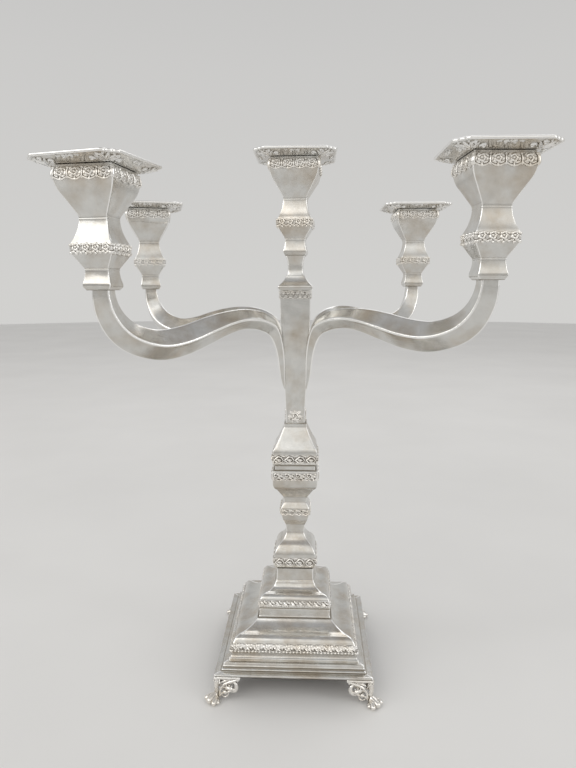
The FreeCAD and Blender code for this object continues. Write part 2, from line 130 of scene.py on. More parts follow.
def arc_points(start, middle, end, step):
    """Points along the arc from start through middle to end, without its start."""
    (ax, ay), (bx, by), (cx, cy) = start, middle, end
    d = 2 * (ax * (by - cy) + bx * (cy - ay) + cx * (ay - by))
    a2, b2, c2 = ax * ax + ay * ay, bx * bx + by * by, cx * cx + cy * cy
    centre = np.array([(a2 * (by - cy) + b2 * (cy - ay) + c2 * (ay - by)) / d,
                       (a2 * (cx - bx) + b2 * (ax - cx) + c2 * (bx - ax)) / d])
    angles = [math.atan2(*(np.array(p) - centre)[::-1]) for p in (start, middle, end)]
    sweep = (angles[2] - angles[0]) % (2 * math.pi)
    if (angles[1] - angles[0]) % (2 * math.pi) > sweep:
        sweep -= 2 * math.pi
    radius = math.dist(start, centre)
    count = max(3, round(abs(sweep) * radius / step))
    turned = angles[0] + sweep * np.arange(1, count + 1) / count
    return list(centre + radius * np.stack([np.cos(turned), np.sin(turned)], 1))


def lengths(points):
    """How far along the polyline each of its points lies."""
    return np.concatenate([[0], np.cumsum(np.linalg.norm(np.diff(points, axis=0), axis=1))])


def sample(outline, step):
    """Points along an outline, about step apart."""
    points = [np.array(outline[0], float)]
    for part in outline[1:]:
        start, end = points[-1], np.array(part[-2:], float)
        if len(part) == 4:
            points += arc_points(start, part[:2], end, step)
        else:
            count = max(1, round(math.dist(start, end) / step))
            points += [start + (end - start) * k / count for k in range(1, count + 1)]
    return np.array(points)


def creased(points, radius=CREASE, least_turn=9.0):
    """The polyline with a small round in place of each sharp corner."""
    made = [points[0]]
    for before, at, after in zip(points, points[1:], points[2:]):
        a, b = before - at, after - at
        la, lb = np.linalg.norm(a), np.linalg.norm(b)
        turn = 180 - math.degrees(math.acos(np.clip(a @ b / (la * lb), -1, 1)))
        if turn < least_turn:
            made.append(at)
            continue
        reach = min(radius, 0.45 * la, 0.45 * lb)
        left, right = at + a / la * reach, at + b / lb * reach
        made += [left, 0.25 * left + 0.5 * at + 0.25 * right, right]
    return np.array(made + [points[-1]])


def through(points, steps):
    """A smooth curve through the points, with this many steps between each two."""
    points = np.array(points, float)
    padded = np.concatenate([[2 * points[0] - points[1]], points, [2 * points[-1] - points[-2]]])
    made = []
    for p0, p1, p2, p3 in zip(padded, padded[1:], padded[2:], padded[3:]):
        for t in np.arange(steps) / steps:
            made.append(0.5 * (2 * p1 + (p2 - p0) * t + (2 * p0 - 5 * p1 + 4 * p2 - p3) * t * t
                               + (3 * p1 - p0 - 3 * p2 + p3) * t ** 3))
    return np.array(made + [points[-1]])


def quarter_turn(points, k):
    """Plan points turned by k quarters about the axis."""
    c, s = (1, 0, -1, 0)[k % 4], (0, 1, 0, -1)[k % 4]
    return points @ np.array([[c, s], [-s, c]], float)


def square_ring(half, corner, run, arc=ROUND):
    """Points, outward directions and places along the side, round a square with round corners."""
    straight = np.linspace(-1, 1, run) * (half - corner)
    turn = np.radians(np.linspace(0, 90, arc + 2)[1:-1])
    bend = np.stack([np.sin(turn), -np.cos(turn)], 1)
    flat = np.stack([straight, np.full(run, -half)], 1)
    side = np.concatenate([flat, bend * corner + [half - corner, corner - half]])
    out = np.concatenate([np.tile([0.0, -1.0], (run, 1)), bend])
    along = np.concatenate([straight, np.full(arc, np.nan)])
    points = np.concatenate([quarter_turn(side, k) for k in range(4)])
    outward = np.concatenate([quarter_turn(out, k) for k in range(4)])
    return points, outward, np.tile(along, 4)


def round_ring(radius, like):
    """A circle with its points at the same bearings as those of another ring."""
    return radius * like / np.linalg.norm(like, axis=1)[:, None]


def waver(points, size=0.06, wave=19.0):
    """The slight unevenness of hand-worked sheet, in millimetres, at each point."""
    k = 2 * math.pi / wave
    x, y, z = points[..., 0], points[..., 1], points[..., 2]
    return size * (np.sin(k * (0.9 * x + 0.5 * z) + 1.3) * np.sin(k * (0.7 * y - 0.6 * z) + 0.4)
                   + 0.6 * np.sin(k * (0.5 * x - 1.1 * y + 1.7 * z) + 2.1))


# ---- meshes

def place(points, x=0.0, y=0.0, z=0.0, turn=0.0):
    """Points turned about the vertical and moved, still in millimetres."""
    a = math.radians(turn)
    c, s = math.cos(a), math.sin(a)
    moved = np.array(points, float)
    moved[..., 0], moved[..., 1] = (points[..., 0] * c - points[..., 1] * s + x,
                                    points[..., 0] * s + points[..., 1] * c + y)
    moved[..., 2] += z
    return moved


def show(name, data):
    """An object with this mesh, lamp or lens, in the scene."""
    shown = bpy.data.objects.new(name, data)
    bpy.context.scene.collection.objects.link(shown)
    return shown


def mesh_from(work, name):
    mesh = bpy.data.meshes.new(name)
    work.to_mesh(mesh)
    work.free()
    return mesh


def mark(mesh, kind, values):
    """A number from 0 to 1 at each point, for the materials to read."""
    layer = mesh.attributes.new(kind, "FLOAT", "POINT")
    layer.data.foreach_set("value", np.clip(values, 0, 1).astype(np.float32).ravel())


def finish_mesh(mesh, body, slot, node_name, sharp=50.0):
    """Make a piece of a mesh: smooth shading, the material of its slot, its body, and the CAD node it
    stands for hidden.
    """
    mesh.polygons.foreach_set("use_smooth", [True] * len(mesh.polygons))
    mesh.set_sharp_from_angle(angle=math.radians(sharp))
    mesh.materials.append(LOOKS[slot])
    piece = show(mesh.name, mesh)
    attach(piece, body)
    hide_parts(node_name)


def lofted(name, rings, closed=False, caps=(False, False), hollow=None, wear_and_highlight=None):
    """A mesh through rings of points, (rows, columns, 3) in millimetres.

    closed joins the last ring to the first, and caps close the first and the last. hollow, from 0
    to 1 at each point, tells the silver where it is dirty, and the last argument, also from 0 to 1,
    where it is painted bright: partly rubbed wear, partly a painted highlight.
    """
    rows, columns = rings.shape[:2]
    index = np.arange(rows * columns).reshape(rows, columns)
    if closed:
        index = np.concatenate([index, index[:1]])
    around = np.roll(index, -1, axis=1)
    quads = np.stack([index[:-1], around[:-1], around[1:], index[1:]], -1).reshape(-1, 4)
    faces = quads.tolist()
    if caps[0]:
        faces.append(index[0][::-1].tolist())
    if caps[1]:
        faces.append(index[-1].tolist())
    mesh = bpy.data.meshes.new(name)
    mesh.from_pydata((rings.reshape(-1, 3) * MM).tolist(), [], faces)
    for kind, values in (("hollow", hollow), ("wear_and_highlight", wear_and_highlight)):
        if values is not None:
            mark(mesh, kind, values)
    work = bmesh.new()
    work.from_mesh(mesh)
    bmesh.ops.recalc_face_normals(work, faces=work.faces)
    work.to_mesh(mesh)
    work.free()
    return mesh


def crevices(points, reach=1.6, full=0.6):
    """How hollow an outline is at each of its points: 1 where it sags by full or more."""
    length, w = lengths(points), points[:, 0]
    around = (np.interp(length + reach, length, w) + np.interp(length - reach, length, w)) / 2
    return np.clip((around - w) / full, 0, 1)


def skin(name, outline, body="candlestick", seat=(0, 0, 0, 0), corner=EDGE, step=1.3, inside=None,
         mouth=None, caps=(True, True)):
    """A piece of square section in polished sheet, over the CAD node of this name.

    inside leads on from the outline's end, down into a hollow, and mouth, a radius and a depth,
    makes that opening round.
    """
    points = creased(sample(outline, step))
    run = max(8, int(points[:, 0].max() * 2 / 2.5))
    rings, hollow, wear_and_highlight = [], [], []
    for (w, z), d in zip(points, crevices(points)):
        plan, outward, along = square_ring(w, min(corner, 0.3 * w), run)
        ring = np.column_stack([plan, np.full(len(plan), z)])
        ring[:, :2] += outward * waver(place(ring, *seat))[:, None]
        rings.append(ring)
        hollow.append(np.full(len(plan), d))
        # The corners of the section are painted bright, less in its crevices: partly rubbed wear, partly a
        # painted highlight along the edges.
        wear_and_highlight.append(np.isnan(along) * (1.0 - d))
    if inside:
        plan = rings[-1][:, :2]
        for w, z in inside:
            if mouth and z >= inside[0][1] - mouth[1]:
                inner = round_ring(mouth[0], plan)
            else:
                inner = square_ring(w, min(corner, 0.3 * w), run)[0]
            rings.append(np.column_stack([inner, np.full(len(plan), z)]))
            hollow.append(np.full(len(plan), 0.6))
            wear_and_highlight.append(np.zeros(len(plan)))
    mesh = lofted(name + "_skin", place(np.array(rings), *seat), caps=caps, hollow=np.array(hollow),
                  wear_and_highlight=np.array(wear_and_highlight))
    finish_mesh(mesh, body, "polished_silver", name)


# ---- relief: heights in millimetres over places x, y in a motif

def dome(x, y, cx, cy, radius, height):
    return height * np.sqrt(np.clip(1 - ((x - cx) ** 2 + (y - cy) ** 2) / radius ** 2, 0, None))


def leaf(x, y, cx, cy, length, width, angle, height):
    """A pointed leaf that grows from cx, cy, with a groove along its middle."""
    a = math.radians(angle)
    u = ((x - cx) * math.cos(a) + (y - cy) * math.sin(a)) / length
    v = (y - cy) * math.cos(a) - (x - cx) * math.sin(a)
    half = width / 2 * np.sqrt(np.clip(np.sin(np.pi * np.clip(u, 0, 1) ** 0.85), 1e-9, None))
    body = np.sqrt(np.clip(1 - (v / half) ** 2, 0, None)) * ((u > 0) & (u < 1))
    return height * body * (1 - 0.5 * np.exp(-(v / (0.13 * width)) ** 2))


def stroke(x, y, points, width, height):
    """A round ridge along a polyline, thinner towards its end."""
    best = np.zeros_like(x)
    last = len(points) - 2
    for k, (a, b) in enumerate(zip(points, points[1:])):
        dx, dy = b[0] - a[0], b[1] - a[1]
        t = np.clip(((x - a[0]) * dx + (y - a[1]) * dy) / (dx * dx + dy * dy), 0, 1)
        wide = width * (1 - 0.35 * (k + t) / (last + 1))
        d = np.hypot(x - a[0] - dx * t, y - a[1] - dy * t) / wide
        best = np.maximum(best, height * np.sqrt(np.clip(1 - d * d, 0, None)))
    return best


def spiral(x, y, cx, cy, radius, turns, start, hand, width, height):
    """A curl that winds in from the radius to its eye."""
    t = np.linspace(0, 1, max(8, round(turns * 14)))
    angle = math.radians(start) + hand * 2 * math.pi * turns * t
    r = radius * (1 - 0.82 * t)
    return stroke(x, y, list(zip(cx + r * np.cos(angle), cy + r * np.sin(angle))), width, height)


def rose(x, y, cx, cy, radius, height, petals=6):
    """An open flower: lobed petals round a boss."""
    r, angle = np.hypot(x - cx, y - cy), np.arctan2(y - cy, x - cx)
    reach = radius * (0.90 + 0.10 * np.cos(petals * angle))
    fan = np.sqrt(np.clip(1 - ((r / reach - 0.70) / 0.30) ** 2, 0, None))
    fan *= 0.55 + 0.45 * np.abs(np.cos(petals * angle / 2)) ** 0.6
    return np.maximum(height * 0.85 * fan, dome(x, y, cx, cy, radius * 0.32, height))


def cup_rose(x, y, w, h):
    """A rose between two bars, over a swag that makes the scalloped lower edge."""
    swag = -0.40 * h + 0.24 * h * (2 * x / w) ** 2
    lower_edge = [(0, -0.36 * h), (0.18 * w, -0.33 * h), (0.34 * w, -0.26 * h), (0.5 * w, -0.16 * h)]
    side = np.abs(x)
    parts = [
        rose(x, y, -0.02 * w, 0.13 * h, 0.31 * w, 0.95, petals=5),
        stroke(side, y, [(0.5 * w, 0.40 * h), (0.5 * w, -0.16 * h)], 0.8, 1.0),
        dome(side, y, 0.5 * w, 0.38 * h, 1.05, 1.1),
        leaf(x, y, 0.14 * w, 0.42 * h, 0.34 * w, 0.15 * w, -42, 0.75),
        leaf(x, y, -0.16 * w, 0.42 * h, 0.30 * w, 0.14 * w, -138, 0.75),
        leaf(side, y, 0.10 * w, -0.20 * h, 0.32 * w, 0.15 * w, 22, 0.7),
        dome(x, y, 0, -0.24 * h, 0.75, 0.75),
        stroke(side, y, lower_edge, 0.75, 0.85),
        dome(side, y, 0.5 * w, -0.24 * h, 0.8, 0.7),
    ]
    return np.maximum.reduce(parts), (y > swag) & (y < 0.47 * h)


def cup_curl(x, y, w, h):
    """A broad flower with a bead on each side, over pairs of leaves and a row of beads."""
    side = np.abs(x)
    parts = [
        rose(x, y, 0, 0.12 * h, 0.42 * w, 1.1, petals=5),
        dome(side, y, 0.5 * w, 0.26 * h, 0.12 * w, 0.9),
        leaf(side, y, 0.06 * w, -0.16 * h, 0.42 * w, 0.22 * w, -8, 0.85),
        dome(x, y, 0, -0.30 * h, 0.15 * w, 1.0),
        dome(side, y, 0.5 * w, -0.26 * h, 0.15 * w, 1.0),
    ]
    return np.maximum.reduce(parts), (y > -0.22 * h) & (y < 0.34 * h)


def hub_flowers(x, y, w, h):
    """Two rows of small flowers, one between two."""
    side = np.abs(x)
    parts = [
        rose(side, y, 0.25 * w, 0.24 * h, 0.21 * w, 0.9, petals=5),
        rose(x, y, 0, -0.20 * h, 0.20 * w, 0.9, petals=5),
        rose(side, y, 0.5 * w, -0.20 * h, 0.20 * w, 0.9, petals=5),
        leaf(side, y, 0.12 * w, 0.02 * h, 0.26 * w, 0.12 * w, 28, 0.6),
        dome(side, y, 0.25 * w, -0.36 * h, 0.09 * w, 0.6),
        dome(x, y, 0, 0.36 * h, 0.08 * w, 0.6),
    ]
    return np.maximum.reduce(parts), np.abs(y) < 0.46 * h


def wave_leaf(x, y, w, h):
    """A leaf under a peaked wave, with a bead between the peaks and a bar under it."""
    crest = [(-0.47 * w, -0.02 * h), (-0.24 * w, 0.20 * h), (-0.02 * w, 0.38 * h), (0.22 * w, 0.28 * h),
             (0.42 * w, 0.0)]
    keel = [(-0.42 * w, -0.04 * h), (-0.18 * w, -0.30 * h), (0.04 * w, -0.40 * h),
            (0.24 * w, -0.24 * h), (0.40 * w, -0.02 * h)]
    parts = [
        stroke(x, y, crest, 0.85, 1.0),
        stroke(x, y, keel, 0.60, 0.7),
        leaf(x, y, -0.26 * w, 0.06 * h, 0.50 * w, 0.22 * w, -8, 0.85),
        leaf(x, y, -0.16 * w, -0.16 * h, 0.32 * w, 0.15 * w, -6, 0.65),
        dome(np.abs(x), y, 0.5 * w, 0.36 * h, 0.80, 0.9),
        stroke(np.abs(x), y, [(0.5 * w, -0.14 * h), (0.5 * w, -0.40 * h)], 0.50, 0.6),
    ]
    return np.maximum.reduce(parts), np.abs(y) < 0.5 * h


def curled_leaf(x, y, w, h):
    """A leaf that grows out of a curl, over a bead and a crescent."""
    crescent = [(-0.26 * w, -0.26 * h), (-0.06 * w, -0.38 * h), (0.16 * w, -0.36 * h),
                (0.36 * w, -0.20 * h)]
    parts = [
        spiral(x, y, -0.24 * w, 0.14 * h, 0.22 * w, 1.0, 30, 1, 0.75, 0.95),
        leaf(x, y, -0.10 * w, 0.24 * h, 0.58 * w, 0.26 * w, -22, 0.95),
        leaf(x, y, -0.08 * w, 0.02 * h, 0.40 * w, 0.18 * w, -34, 0.8),
        dome(x, y, 0.34 * w, 0.30 * h, 0.09 * w, 0.7),
        dome(x, y, -0.40 * w, -0.34 * h, 0.085 * w, 0.9),
        stroke(x, y, crescent, 0.6, 0.75),
    ]
    return np.maximum.reduce(parts), np.abs(y + 0.04 * h) < 0.34 * h


def slant_leaves(x, y, w, h):
    """Broad leaves slanting down to the right, crossed by two from the other side, over beads."""
    hem = -0.34 * h - 0.05 * h * np.cos(2 * math.pi * x / w)
    parts = [
        leaf(x, y, -0.56 * w, 0.38 * h, 0.74 * w, 0.26 * w, -52, 0.9),
        leaf(x, y, -0.30 * w, 0.44 * h, 0.86 * w, 0.28 * w, -50, 1.05),
        leaf(x, y, -0.02 * w, 0.42 * h, 0.72 * w, 0.26 * w, -46, 0.95),
        leaf(x, y, 0.24 * w, 0.40 * h, 0.50 * w, 0.22 * w, -40, 0.85),
        leaf(x, y, 0.36 * w, 0.44 * h, 0.44 * w, 0.20 * w, -128, 0.9),
        leaf(x, y, 0.04 * w, 0.02 * h, 0.40 * w, 0.18 * w, -132, 0.85),
        dome(x, y, 0.40 * w, 0.02 * h, 0.10 * w, 0.9),
        dome(np.abs(x), y, 0.5 * w, -0.36 * h, 0.12 * w, 1.0),
        dome(x, y, 0.16 * w, -0.40 * h, 0.10 * w, 0.9),
        dome(x, y, -0.18 * w, -0.38 * h, 0.10 * w, 0.9),
    ]
    return np.maximum.reduce(parts), (y > hem) & (y < 0.46 * h)


def laurel(x, y, w, h):
    """Slanting leaves under a fine line, with small curls at their feet."""
    parts = [
        leaf(x, y, -0.44 * w, 0.34 * h, 0.82 * w, 0.30 * w, -46, 0.9),
        leaf(x, y, -0.06 * w, 0.36 * h, 0.58 * w, 0.24 * w, -34, 0.8),
        leaf(x, y, -0.44 * w, 0.02 * h, 0.52 * w, 0.20 * w, -40, 0.7),
        spiral(x, y, 0.24 * w, -0.28 * h, 0.15 * w, 1.0, 60, 1, 0.45, 0.7),
        dome(x, y, 0.40 * w, 0.12 * h, 0.08 * w, 0.7),
        np.where(np.abs(y - 0.44 * h) < 0.035 * h, 0.35, 0),
    ]
    return np.maximum.reduce(parts), y > -0.36 * h


def sprig(x, y, w, h):
    """A small spray: three flowers in a fan of broad leaves, on no ground."""
    side = np.abs(x)
    parts = [
        rose(x, y, 0, 0.10 * h, 0.20 * w, 1.1, petals=5),
        rose(side, y, 0.28 * w, -0.18 * h, 0.16 * w, 0.95, petals=5),
        leaf(side, y, 0.08 * w, 0.20 * h, 0.34 * w, 0.20 * w, 34, 0.85),
        leaf(side, y, 0.16 * w, 0.02 * h, 0.32 * w, 0.18 * w, 4, 0.8),
        leaf(side, y, 0.04 * w, -0.16 * h, 0.32 * w, 0.20 * w, -62, 0.85),
        leaf(x, y, 0, 0.24 * h, 0.25 * h, 0.20 * w, 90, 0.9),
        dome(x, y, 0, -0.24 * h, 0.11 * w, 0.95),
    ]
    return np.maximum.reduce(parts), y > 2 * h


def crowded(height, reach=3, full=0.34):
    """How far each place lies under the ornament round it, 1 at full or more; columns run round a ring."""
    blurred = np.clip(height, 0, None)
    for axis in (0, 1):
        spread = np.pad(blurred, ((reach, reach), (0, 0)), mode="edge") if axis == 0 else blurred
        total = sum(np.roll(spread, k, axis) for k in range(-reach, reach + 1)) / (2 * reach + 1)
        blurred = total[reach:-reach] if axis == 0 else total
    return np.clip((blurred - height) / full, 0, 1)


GROUND = 0.16             # the sheet of a band, over the piece under it
TUCK = -0.45              # where a band has no ground, its surface dips under the skin
LEAST_RELIEF = 0.02       # a motif lower than this is bare ground
BAND_BACK = -0.8          # how far a band's back lies inside the skin


def band_piece(name, outline, low_z, high_z, motif, per_side, body, node_name, seat=(0, 0, 0, 0),
               gain=1.0, corner=EDGE, step=0.27, dirt=1.0):
    """A square ring of relief, per_side motifs to a face, on the skin of the piece with this outline."""
    fine = sample(outline, 0.2)
    length = lengths(fine)
    low, high = (np.interp(z, fine[:, 1], length) for z in (low_z, high_z))
    tall = high - low
    at = np.linspace(low, high, max(6, round(tall / step)))
    under = np.stack([np.interp(at, length, fine[:, 0]), np.interp(at, length, fine[:, 1])], 1)
    slope = np.gradient(under, axis=0)
    slope /= np.linalg.norm(slope, axis=1)[:, None]
    y = at - (low + high) / 2
    widest = under[:, 0].max()
    cell = 2 * (widest - corner) / per_side
    run = round(2 * widest / step)
    rings, heights = [], []
    for (w, z), (dw, dz), level in zip(under, slope, y):
        plan, outward, along = square_ring(w, corner, run)
        place_in_side = along / (w - corner) * (widest - corner)
        x = (place_in_side + per_side * cell / 2) % cell - cell / 2
        x = np.where(np.isnan(x), cell / 2, x)
        height, ground = motif(x, np.full(len(x), level), cell, tall)
        bare = np.where(ground, GROUND, TUCK)
        height = gain * np.where(height > LEAST_RELIEF, height + GROUND, bare)
        rings.append(np.column_stack([plan + outward * (height * dz)[:, None], z - dw * height]))
        heights.append(height)
    hollow = dirt * crowded(np.array(heights))
    back = []
    for w, z in (under[-1], under[0]):
        plan = square_ring(w + BAND_BACK, corner, run)[0]
        back.append(np.column_stack([plan, np.full(len(plan), z)]))
    hollow = np.concatenate([hollow, np.ones((2, hollow.shape[1]))])
    mesh = lofted(name, place(np.array(rings + back), *seat), closed=True, hollow=hollow)
    finish_mesh(mesh, body, "chased_silver", node_name)


# ---- materials

def node(tree, kind, **settings):
    made = tree.nodes.new(kind)
    for key, value in settings.items():
        if key in made.inputs:
            made.inputs[key].default_value = value
        else:
            setattr(made, key, value)
    return made


def ramp(tree, source, stops):
    """A ramp on a value: stops are (place, colour), or (place, number) for a grey."""
    made = tree.nodes.new("ShaderNodeValToRGB")
    elements = made.color_ramp.elements
    while len(elements) < len(stops):
        elements.new(0.5)
    for element, (at, colour) in zip(elements, stops):
        rgb = colour if isinstance(colour, tuple) else (colour,) * 3
        element.position = at
        element.color = (*rgb, 1.0)
    tree.links.new(source, made.inputs["Fac"])
    return made.outputs["Color"]


def mapped(tree, scale=(1, 1, 1), turn=(0, 0, 0)):
    """The place on the object, in metres, scaled and turned."""
    where = tree.nodes.new("ShaderNodeTexCoord")
    mapping = tree.nodes.new("ShaderNodeMapping")
    mapping.inputs["Scale"].default_value = scale
    mapping.inputs["Rotation"].default_value = turn
    tree.links.new(where.outputs["Object"], mapping.inputs["Vector"])
    return mapping.outputs["Vector"]


def noise(tree, scale, detail=4.0, rough=0.55, vector=None):
    made = node(tree, "ShaderNodeTexNoise", Scale=scale, Detail=detail, Roughness=rough)
    tree.links.new(vector or mapped(tree), made.inputs["Vector"])
    return made.outputs["Fac"]


def math_node(tree, operation, *values):
    made = node(tree, "ShaderNodeMath", operation=operation)
    for socket, value in zip(made.inputs, values):
        if isinstance(value, (int, float)):
            socket.default_value = value
        else:
            tree.links.new(value, socket)
    return made.outputs["Value"]


def mixed(tree, factor, a, b, blend="MIX"):
    """Two colours mixed; each of the three is a socket, or a plain value."""
    made = node(tree, "ShaderNodeMix", data_type="RGBA", blend_type=blend)
    for key, value in (("Factor", factor), ("A", a), ("B", b)):
        if isinstance(value, tuple):
            made.inputs[key].default_value = (*value, 1.0)
        elif isinstance(value, float):
            made.inputs[key].default_value = value
        else:
            tree.links.new(value, made.inputs[key])
    return made.outputs["Result"]


def blank(name):
    """A new material, its node tree and its shader."""
    material = bpy.data.materials.new(name)
    material.use_nodes = True
    return material, material.node_tree, material.node_tree.nodes["Principled BSDF"]


def bumped(tree, shader, height, strength, distance):
    """Relief in the shader's normal, from a height from 0 to 1 over a distance in metres."""
    bump = node(tree, "ShaderNodeBump", Strength=strength, Distance=distance)
    tree.links.new(height, bump.inputs["Height"])
    tree.links.new(bump.outputs["Normal"], shader.inputs["Normal"])


OXIDE_WIDTH = 0.55        # from the first trace of oxide to full cover
OXIDE_ROUGHNESS = (0.45,) * 3


def silver(name, bright, warm, oxide, oxide_from, smooth, rough, scratch):
    """Polished silver: patches of warm tarnish, fine rubbing marks, oxide left in the hollows, and a
    near-white tone painted where the mesh is marked, partly rubbed wear and partly a painted highlight.
    """
    material, tree, shader = blank(name)
    shader.inputs["Metallic"].default_value = 1.0
    patches = ramp(tree, noise(tree, 38.0, 5.0, 0.6), [(0.42, bright), (0.70, warm)])
    cloud = ramp(tree, noise(tree, 140.0, 3.0), [(0.3, 0.90), (0.7, 1.0)])
    tone = mixed(tree, 1.0, patches, cloud, "MULTIPLY")
    hollow = node(tree, "ShaderNodeAttribute", attribute_name="hollow").outputs["Fac"]
    broken = math_node(tree, "MULTIPLY_ADD", noise(tree, 420.0), 0.35, hollow)
    dark = ramp(tree, broken, [(oxide_from, 0.0), (min(oxide_from + OXIDE_WIDTH, 1.0), 1.0)])
    # Where the mesh is marked, the base is painted near white: partly rubbed wear, partly a painted
    # highlight.
    edge = node(tree, "ShaderNodeAttribute", attribute_name="wear_and_highlight").outputs["Fac"]
    tree.links.new(mixed(tree, dark, mixed(tree, edge, tone, WEAR_AND_HIGHLIGHT_TONE), oxide), shader.inputs["Base Color"])
    marks = noise(tree, 1.0, 2.0, 0.5, mapped(tree, (260.0, 260.0, 2600.0), (0.3, 0.2, 0.5)))
    cross = noise(tree, 1.0, 2.0, 0.5, mapped(tree, (2300.0, 240.0, 300.0), (0.1, 0.6, 0.2)))
    rubbed = math_node(tree, "MULTIPLY_ADD", marks, 0.6, math_node(tree, "MULTIPLY", cross, 0.4))
    wear = math_node(tree, "MULTIPLY_ADD", noise(tree, 75.0, 6.0), 0.65,
                     math_node(tree, "MULTIPLY", rubbed, 0.35))
    gloss = ramp(tree, wear, [(0.35, smooth), (0.70, rough)])
    tree.links.new(mixed(tree, dark, gloss, OXIDE_ROUGHNESS), shader.inputs["Roughness"])
    bumped(tree, shader, rubbed, scratch, 0.0001)
    return material


def board_material():
    """A dark stained board with a faint grain."""
    material, tree, shader = blank("dark_board")
    grain = noise(tree, 1.0, 5.0, 0.6, mapped(tree, (30.0, 420.0, 420.0)))
    colour = ramp(tree, grain, [(0.3, (0.035, 0.022, 0.014)), (0.75, (0.10, 0.062, 0.038))])
    tree.links.new(colour, shader.inputs["Base Color"])
    shader.inputs["Roughness"].default_value = 0.6
    bumped(tree, shader, grain, 0.3, 0.0003)
    return material


def steel_material():
    """Plain steel with turning marks and a little dull patina."""
    material, tree, shader = blank("rod_steel")
    shader.inputs["Metallic"].default_value = 1.0
    colour = ramp(tree, noise(tree, 160.0, 5.0), [(0.35, (0.44, 0.43, 0.41)), (0.7, (0.60, 0.59, 0.58))])
    tree.links.new(colour, shader.inputs["Base Color"])
    turning = noise(tree, 1.0, 2.0, 0.5, mapped(tree, (60.0, 60.0, 4000.0)))
    tree.links.new(ramp(tree, turning, [(0.3, 0.28), (0.7, 0.48)]), shader.inputs["Roughness"])
    return material


# The near white painted on edges, ridges and rims: partly rubbed wear, partly a painted highlight.
WEAR_AND_HIGHLIGHT_TONE = (0.985, 0.98, 0.965)
OXIDE = (0.17, 0.148, 0.12)
DULL = (0.30, 0.27, 0.225)
# The material of each slot of the record.
LOOKS = {
    # The polished silver's base is dimmed well below the chased silver's: partly tarnish, partly painted
    # shade that darkens its plain faces against the pale floor.
    "polished_silver": silver("polished_silver", bright=(0.74, 0.735, 0.71), warm=(0.58, 0.525, 0.45),
                              oxide=DULL, oxide_from=0.55, smooth=0.13, rough=0.27, scratch=0.30),
    "chased_silver": silver("chased_silver", bright=(0.97, 0.955, 0.925), warm=(0.88, 0.82, 0.73),
                            oxide=OXIDE, oxide_from=0.40, smooth=0.14, rough=0.26, scratch=0.22),
    "base_board": board_material(),
    "rod_steel": steel_material(),
}


def dress(node_name, slot):
    """A better material on a CAD node that keeps its own shape."""
    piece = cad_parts[node_name]
    piece.data.materials.clear()
    piece.data.materials.append(LOOKS[slot])


# ---- candlestick

def border(name, outline, low_z, high_z, motif, per_side, body="candlestick", **more):
    band_piece(name + "_relief", outline, low_z, high_z, motif, per_side, body, name + "_band", **more)


skin("base_rim", RIM + [(57.2, 32.2)], corner=1.2, caps=(False, False),
     inside=[(56.6, 31.6), (56.6, 23.8), (57.2, 23.2), (69.2, 23.2)])
skin("lower_tier", LOWER_TIER, corner=1.2)
skin("mid_tier", MID_TIER, corner=1.0)
skin("socle", SOCLE)
skin("knop", KNOP)
skin("lower_vase", LOWER_VASE)
skin("upper_vase", UPPER_VASE, inside=[(9.7, 237.8), (9.3, 237.5), (9.3, 212.0)])

border("lower_tier", LOWER_TIER, 39.0, 47.0, slant_leaves, 12, corner=1.2, step=0.32, gain=1.5, dirt=0.72)
border("mid_tier", MID_TIER, 68.8, 75.8, laurel, 9, corner=1.0, gain=1.3, dirt=0.72)
border("socle", SOCLE, 102.2, 111.8, wave_leaf, 4, gain=1.2)
border("knop", KNOP, 150.4, 157.8, curled_leaf, 4, gain=1.1)
border("lower_vase", LOWER_VASE, 186.4, 195.2, curled_leaf, 4, gain=1.25)
border("upper_vase", UPPER_VASE, 202.2, 211.0, wave_leaf, 4, gain=1.25)

# ---- branch unit

skin("stem", STEM, body="branches")
skin("hub_cap", HUB_CAP, body="branches")
skin("spindle", SPINDLE, body="branches", corner=1.3)
border("hub", STEM, 350.6, 359.3, hub_flowers, 3, body="branches", gain=1.3)


def stem_sprigs():
    """Four small sprigs at the foot of the stem, one mesh."""
    wide, tall, step = 14.5, 11.5, 0.25
    gain, ground = 1.3, 0.1
    xs = np.arange(-wide / 2, wide / 2 + step, step)
    x, y = np.meshgrid(xs, np.arange(-tall / 2, tall / 2 + step, step))
    relief = sprig(x, y, wide, tall)[0]
    height = np.where(relief > 0.03, gain * relief + ground, -0.5)
    dirt = crowded(height).ravel()
    stem_foot = STEM[2:5]
    z = y + SPRIG_Z
    face = np.interp(z, [at for _, at in stem_foot], [half for half, _ in stem_foot])
    index = np.arange(x.size).reshape(x.shape)
    quads = np.stack([index[:-1, :-1], index[:-1, 1:], index[1:, 1:], index[1:, :-1]], -1).reshape(-1, 4)
    kept = quads[height.ravel()[quads].max(1) > 0].tolist()
    work = bmesh.new()
    layer = work.verts.layers.float.new("hollow")
    for k in range(4):
        plan = quarter_turn(np.stack([x.ravel(), -(face + height).ravel()], 1), k)
        verts = []
        for (px, py), pz, d in zip(plan, z.ravel(), dirt):
            vert = work.verts.new((px * MM, py * MM, pz * MM))
            vert[layer] = d
            verts.append(vert)
        for quad in kept:
            work.faces.new([verts[i] for i in quad])
    bmesh.ops.delete(work, geom=[v for v in work.verts if not v.link_faces], context="VERTS")
    finish_mesh(mesh_from(work, "stem_sprig_relief"), "branches", "chased_silver", "stem_sprigs")


stem_sprigs()


def eased(value, start, end):
    """From 0 at start to 1 at end, level at both."""
    t = np.clip((value - start) / (end - start), 0, 1)
    return t * t * (3 - 2 * t)


